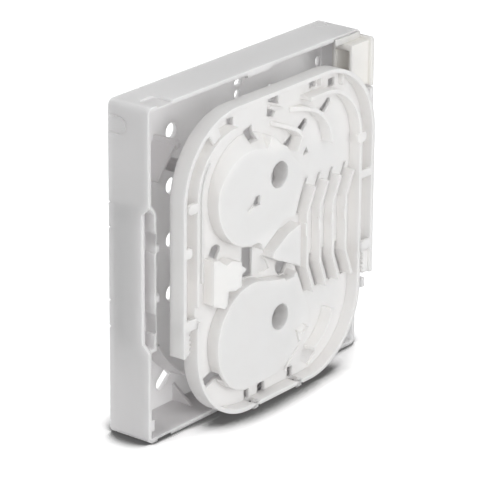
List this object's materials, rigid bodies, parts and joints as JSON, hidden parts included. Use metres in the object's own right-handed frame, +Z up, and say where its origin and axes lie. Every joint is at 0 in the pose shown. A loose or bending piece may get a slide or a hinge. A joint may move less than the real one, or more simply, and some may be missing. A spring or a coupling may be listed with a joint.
{
  "type": "ethernet junction box",
  "caption": "Square wall-mounted cabling box base with a hinged fibre splice cassette in front and a snap-in connector port at its upper right corner.",
  "frame": {"origin": "middle of the footprint of the whole object, on the surface it stands on", "axes": "+X to the right as seen from the front, -Y towards the viewer, +Y towards the wall, +Z up"},
  "size_m": [0.146, 0.034, 0.15],
  "materials": {
    "housing": "fine matte moulded plastic, cool white",
    "port": "smooth matte moulded plastic, ivory white",
    "cassette": "satin moulded plastic, slightly warm white"
  },
  "bodies": {
    "base": {"base_housing": "housing", "port_insert": "port"},
    "cassette": {"splice_cassette": "cassette"}
  },
  "joints": [
    {"name": "cassette_hinge", "type": "hinge", "parent": "base", "child": "cassette", "pos_m": [0.0013, -0.01605, 0.00245], "axis": [1, 0, 0], "range_deg": [0, 90]}
  ]
}
